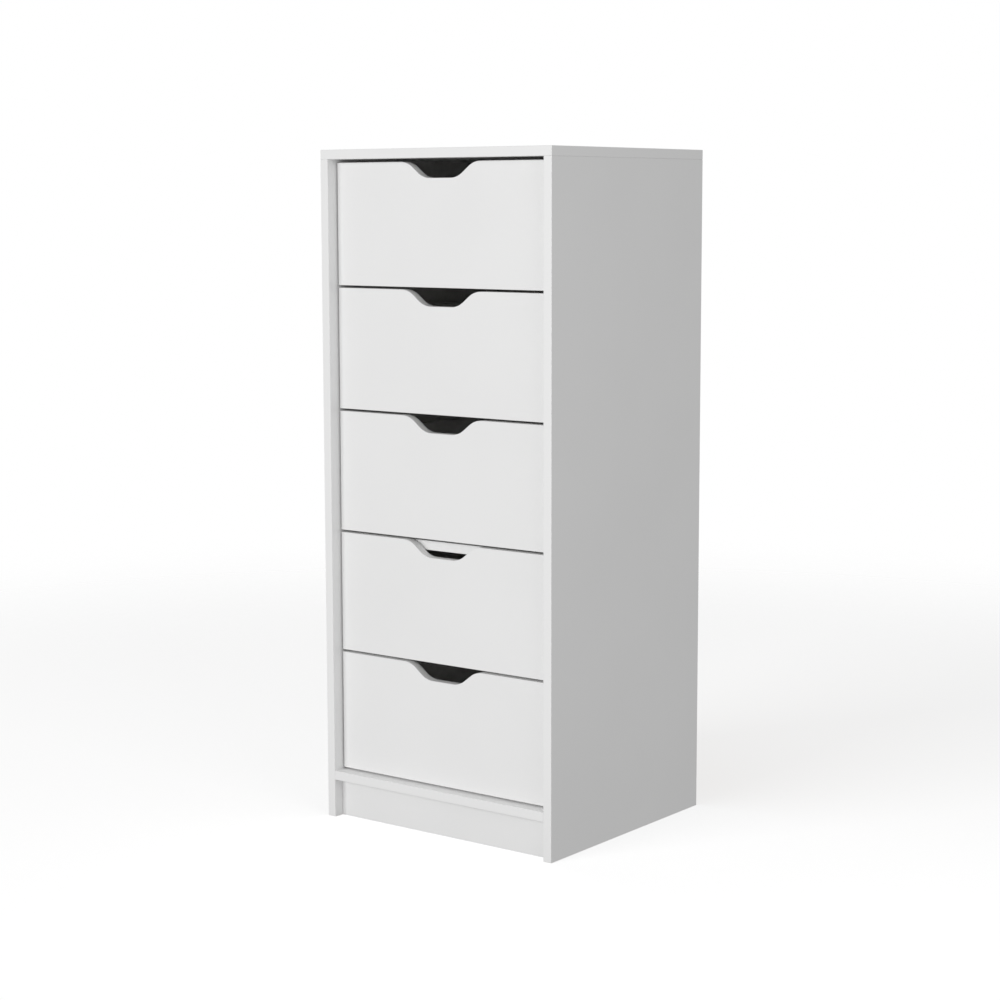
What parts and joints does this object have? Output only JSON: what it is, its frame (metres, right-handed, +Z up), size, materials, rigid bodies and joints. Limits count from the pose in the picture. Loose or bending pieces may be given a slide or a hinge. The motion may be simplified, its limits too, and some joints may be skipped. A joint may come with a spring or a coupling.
{
  "type": "tall chest of drawers",
  "caption": "Tall narrow white chest with inset drawers on roller runners, each front with a trapezoid finger cut-out in its upper edge, on a recessed kick board.",
  "frame": {"origin": "on the floor, under the middle of the chest's width and depth", "axes": "+X to the right seen from the front, +Y to the back, +Z up"},
  "size_m": [0.45, 0.413, 1.078],
  "materials": {
    "white_melamine": "white melamine foil on particleboard, fine satin grain, white edge banding",
    "white_hardboard": "hardboard, white lacquered on its inner face and raw brown on its reverse",
    "white_epoxy_steel": "white epoxy powder coat on rolled steel sheet",
    "white_nylon": "natural white nylon",
    "zinc_plated_steel": "bright zinc plate",
    "beech": "fluted raw beech"
  },
  "bodies": {
    "carcase": {"top_panel": "white_melamine", "left_side_panel": "white_melamine", "right_side_panel": "white_melamine", "bottom_panel": "white_melamine", "kick_board": "white_melamine", "cross_rail": "white_melamine", "back_panel": "white_hardboard", "left_carcase_runners": "white_epoxy_steel", "right_carcase_runners": "white_epoxy_steel", "cam_locks": "zinc_plated_steel", "cam_bolts": "zinc_plated_steel", "dowels": "beech", "back_panel_nails": "zinc_plated_steel", "runner_screws": "zinc_plated_steel"},
    "drawer_1": {"drawer_1_front": "white_melamine", "drawer_1_left_side": "white_melamine", "drawer_1_right_side": "white_melamine", "drawer_1_back": "white_melamine", "drawer_1_bottom": "white_hardboard", "drawer_1_runners": "white_epoxy_steel", "drawer_1_fasteners": "zinc_plated_steel"},
    "front_rollers_1": {"drawer_1_front_rollers": "white_nylon"},
    "rear_rollers_1": {"drawer_1_rear_rollers": "white_nylon"},
    "drawer_2": {"drawer_2_front": "white_melamine", "drawer_2_left_side": "white_melamine", "drawer_2_right_side": "white_melamine", "drawer_2_back": "white_melamine", "drawer_2_bottom": "white_hardboard", "drawer_2_runners": "white_epoxy_steel", "drawer_2_fasteners": "zinc_plated_steel"},
    "front_rollers_2": {"drawer_2_front_rollers": "white_nylon"},
    "rear_rollers_2": {"drawer_2_rear_rollers": "white_nylon"},
    "drawer_3": {"drawer_3_front": "white_melamine", "drawer_3_left_side": "white_melamine", "drawer_3_right_side": "white_melamine", "drawer_3_back": "white_melamine", "drawer_3_bottom": "white_hardboard", "drawer_3_runners": "white_epoxy_steel", "drawer_3_fasteners": "zinc_plated_steel"},
    "front_rollers_3": {"drawer_3_front_rollers": "white_nylon"},
    "rear_rollers_3": {"drawer_3_rear_rollers": "white_nylon"},
    "drawer_4": {"drawer_4_front": "white_melamine", "drawer_4_left_side": "white_melamine", "drawer_4_right_side": "white_melamine", "drawer_4_back": "white_melamine", "drawer_4_bottom": "white_hardboard", "drawer_4_runners": "white_epoxy_steel", "drawer_4_fasteners": "zinc_plated_steel"},
    "front_rollers_4": {"drawer_4_front_rollers": "white_nylon"},
    "rear_rollers_4": {"drawer_4_rear_rollers": "white_nylon"},
    "drawer_5": {"drawer_5_front": "white_melamine", "drawer_5_left_side": "white_melamine", "drawer_5_right_side": "white_melamine", "drawer_5_back": "white_melamine", "drawer_5_bottom": "white_hardboard", "drawer_5_runners": "white_epoxy_steel", "drawer_5_fasteners": "zinc_plated_steel"},
    "front_rollers_5": {"drawer_5_front_rollers": "white_nylon"},
    "rear_rollers_5": {"drawer_5_rear_rollers": "white_nylon"}
  },
  "joints": [
    {"name": "drawer_1_slide", "type": "slide", "parent": "carcase", "child": "drawer_1", "axis": [0, -1, 0], "range_m": [0, 0.26]},
    {"name": "front_rollers_1_spin", "type": "hinge", "parent": "carcase", "child": "front_rollers_1", "pos_m": [0, -0.156, 0.8854], "axis": [1, 0, 0], "continuous": true},
    {"name": "rear_rollers_1_spin", "type": "hinge", "parent": "drawer_1", "child": "rear_rollers_1", "pos_m": [0, 0.1655, 0.884], "axis": [1, 0, 0], "continuous": true},
    {"name": "drawer_2_slide", "type": "slide", "parent": "carcase", "child": "drawer_2", "axis": [0, -1, 0], "range_m": [0, 0.26]},
    {"name": "front_rollers_2_spin", "type": "hinge", "parent": "carcase", "child": "front_rollers_2", "pos_m": [0, -0.156, 0.689], "axis": [1, 0, 0], "continuous": true},
    {"name": "rear_rollers_2_spin", "type": "hinge", "parent": "drawer_2", "child": "rear_rollers_2", "pos_m": [0, 0.1655, 0.6876], "axis": [1, 0, 0], "continuous": true},
    {"name": "drawer_3_slide", "type": "slide", "parent": "carcase", "child": "drawer_3", "axis": [0, -1, 0], "range_m": [0, 0.26]},
    {"name": "front_rollers_3_spin", "type": "hinge", "parent": "carcase", "child": "front_rollers_3", "pos_m": [0, -0.156, 0.4926], "axis": [1, 0, 0], "continuous": true},
    {"name": "rear_rollers_3_spin", "type": "hinge", "parent": "drawer_3", "child": "rear_rollers_3", "pos_m": [0, 0.1655, 0.4912], "axis": [1, 0, 0], "continuous": true},
    {"name": "drawer_4_slide", "type": "slide", "parent": "carcase", "child": "drawer_4", "axis": [0, -1, 0], "range_m": [0, 0.26]},
    {"name": "front_rollers_4_spin", "type": "hinge", "parent": "carcase", "child": "front_rollers_4", "pos_m": [0, -0.156, 0.2962], "axis": [1, 0, 0], "continuous": true},
    {"name": "rear_rollers_4_spin", "type": "hinge", "parent": "drawer_4", "child": "rear_rollers_4", "pos_m": [0, 0.1655, 0.2948], "axis": [1, 0, 0], "continuous": true},
    {"name": "drawer_5_slide", "type": "slide", "parent": "carcase", "child": "drawer_5", "axis": [0, -1, 0], "range_m": [0, 0.26]},
    {"name": "front_rollers_5_spin", "type": "hinge", "parent": "carcase", "child": "front_rollers_5", "pos_m": [0, -0.156, 0.0998], "axis": [1, 0, 0], "continuous": true},
    {"name": "rear_rollers_5_spin", "type": "hinge", "parent": "drawer_5", "child": "rear_rollers_5", "pos_m": [0, 0.1655, 0.0984], "axis": [1, 0, 0], "continuous": true}
  ],
  "couplings": [
    {"joint": "front_rollers_1_spin", "follows": "drawer_1_slide", "rad_per_m": 103.09},
    {"joint": "rear_rollers_1_spin", "follows": "drawer_1_slide", "rad_per_m": 111.11},
    {"joint": "front_rollers_2_spin", "follows": "drawer_2_slide", "rad_per_m": 103.09},
    {"joint": "rear_rollers_2_spin", "follows": "drawer_2_slide", "rad_per_m": 111.11},
    {"joint": "front_rollers_3_spin", "follows": "drawer_3_slide", "rad_per_m": 103.09},
    {"joint": "rear_rollers_3_spin", "follows": "drawer_3_slide", "rad_per_m": 111.11},
    {"joint": "front_rollers_4_spin", "follows": "drawer_4_slide", "rad_per_m": 103.09},
    {"joint": "rear_rollers_4_spin", "follows": "drawer_4_slide", "rad_per_m": 111.11},
    {"joint": "front_rollers_5_spin", "follows": "drawer_5_slide", "rad_per_m": 103.09},
    {"joint": "rear_rollers_5_spin", "follows": "drawer_5_slide", "rad_per_m": 111.11}
  ]
}
